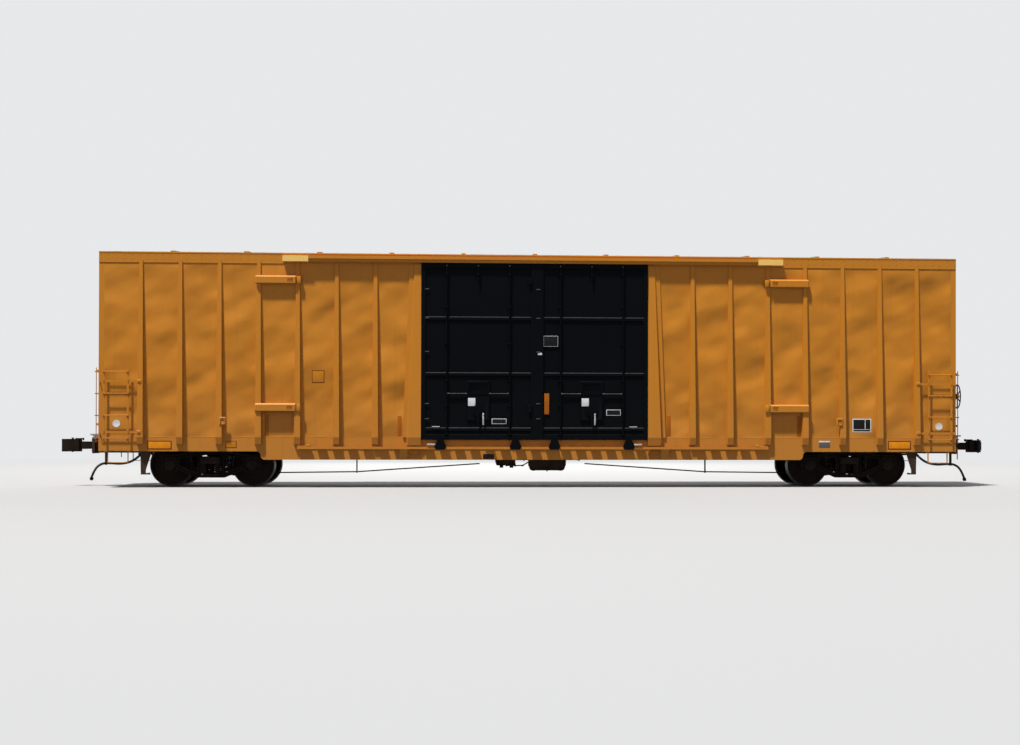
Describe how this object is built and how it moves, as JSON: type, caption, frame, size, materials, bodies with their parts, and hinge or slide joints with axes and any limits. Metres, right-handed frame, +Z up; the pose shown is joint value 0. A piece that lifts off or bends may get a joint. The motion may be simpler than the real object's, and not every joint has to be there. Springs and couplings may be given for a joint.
{
  "type": "railroad boxcar",
  "caption": "High-cube railroad boxcar with plug doors, swivelling trucks, rolling wheelsets and knuckle couplers.",
  "frame": {"origin": "centre of the car at the height of the wheel flanges' lowest points, one flange below the rail top", "axes": "+X along the car towards the hand-brake end, +Y to the left when looking that way, +Z up"},
  "size_m": [20.8632, 3.244, 5.2093],
  "materials": {
    "body_paint": "satin, weathered orange-brown",
    "door_paint": "satin black, dusty",
    "underframe_paint": "matt, rusty brown",
    "cast_steel": "rough, rusty",
    "wheel_steel": "rusty, with a bright tread",
    "roof_zinc": "galvanised, weathered",
    "deck_wood": "worn planks",
    "hose_rubber": "matt black"
  },
  "bodies": {
    "carbody": {"centre_sill": "underframe_paint", "body_bolsters": "underframe_paint", "crossbearers": "underframe_paint", "floor": "deck_wood", "side_sills": "body_paint", "end_sills": "body_paint", "roping_brackets": "underframe_paint", "side_wall_left": "body_paint", "side_wall_right": "body_paint", "side_posts": "body_paint", "door_posts": "body_paint", "top_chords": "body_paint", "corner_posts": "body_paint", "roof": "roof_zinc", "upper_door_rails": "body_paint", "lower_door_tracks": "body_paint", "door_gear": "door_paint", "door_stops": "body_paint", "ladders": "body_paint", "sill_steps": "body_paint", "end_platforms": "roof_zinc", "hand_brake_housing": "body_paint", "hand_brake_wheel": "body_paint", "air_reservoir": "underframe_paint", "brake_cylinder": "underframe_paint", "control_valve": "underframe_paint", "brake_pipe": "underframe_paint", "brake_rods": "underframe_paint", "hose_couplings": "cast_steel", "uncoupling_levers": "underframe_paint", "end_wall_a": "body_paint", "end_wall_b": "body_paint", "plug_door_left_a": "door_paint", "plug_door_left_b": "door_paint", "plug_door_right_a": "door_paint", "plug_door_right_b": "door_paint", "air_hose_a": "hose_rubber", "air_hose_b": "hose_rubber"},
    "truck_a": {"side_frames_a": "cast_steel", "truck_bolster_a": "cast_steel", "spring_nests_a": "cast_steel", "bearings_a": "cast_steel", "brake_beams_a": "underframe_paint"},
    "truck_b": {"side_frames_b": "cast_steel", "truck_bolster_b": "cast_steel", "spring_nests_b": "cast_steel", "bearings_b": "cast_steel", "brake_beams_b": "underframe_paint"},
    "wheelset_1": {"axle_1": "wheel_steel", "wheels_1": "wheel_steel"},
    "wheelset_2": {"axle_2": "wheel_steel", "wheels_2": "wheel_steel"},
    "wheelset_3": {"axle_3": "wheel_steel", "wheels_3": "wheel_steel"},
    "wheelset_4": {"axle_4": "wheel_steel", "wheels_4": "wheel_steel"},
    "coupler_a": {"coupler_a": "cast_steel"},
    "knuckle_a": {"knuckle_a": "cast_steel"},
    "coupler_b": {"coupler_b": "cast_steel"},
    "knuckle_b": {"knuckle_b": "cast_steel"}
  },
  "joints": [
    {"name": "truck_a_swivel", "type": "hinge", "parent": "carbody", "child": "truck_a", "pos_m": [-7.0485, 0, 0.6794], "axis": [0, 0, 1], "range_deg": [-9, 9]},
    {"name": "truck_b_swivel", "type": "hinge", "parent": "carbody", "child": "truck_b", "pos_m": [7.0485, 0, 0.6794], "axis": [0, 0, 1], "range_deg": [-9, 9]},
    {"name": "wheelset_1_roll", "type": "hinge", "parent": "truck_a", "child": "wheelset_1", "pos_m": [-7.9375, 0, 0.4826], "axis": [0, 1, 0], "continuous": true},
    {"name": "wheelset_2_roll", "type": "hinge", "parent": "truck_a", "child": "wheelset_2", "pos_m": [-6.1595, 0, 0.4826], "axis": [0, 1, 0], "continuous": true},
    {"name": "wheelset_3_roll", "type": "hinge", "parent": "truck_b", "child": "wheelset_3", "pos_m": [6.1595, 0, 0.4826], "axis": [0, 1, 0], "continuous": true},
    {"name": "wheelset_4_roll", "type": "hinge", "parent": "truck_b", "child": "wheelset_4", "pos_m": [7.9375, 0, 0.4826], "axis": [0, 1, 0], "continuous": true},
    {"name": "coupler_a_swing", "type": "hinge", "parent": "carbody", "child": "coupler_a", "pos_m": [-9.275, 0, 0.9014], "axis": [0, 0, 1], "range_deg": [-7, 7]},
    {"name": "knuckle_a_open", "type": "hinge", "parent": "coupler_a", "child": "knuckle_a", "pos_m": [-10.27, 0.15, 0.9014], "axis": [0, 0, 1], "range_deg": [-45, 0]},
    {"name": "coupler_b_swing", "type": "hinge", "parent": "carbody", "child": "coupler_b", "pos_m": [9.275, 0, 0.9014], "axis": [0, 0, 1], "range_deg": [-7, 7]},
    {"name": "knuckle_b_open", "type": "hinge", "parent": "coupler_b", "child": "knuckle_b", "pos_m": [10.27, -0.15, 0.9014], "axis": [0, 0, 1], "range_deg": [-45, 0]}
  ]
}
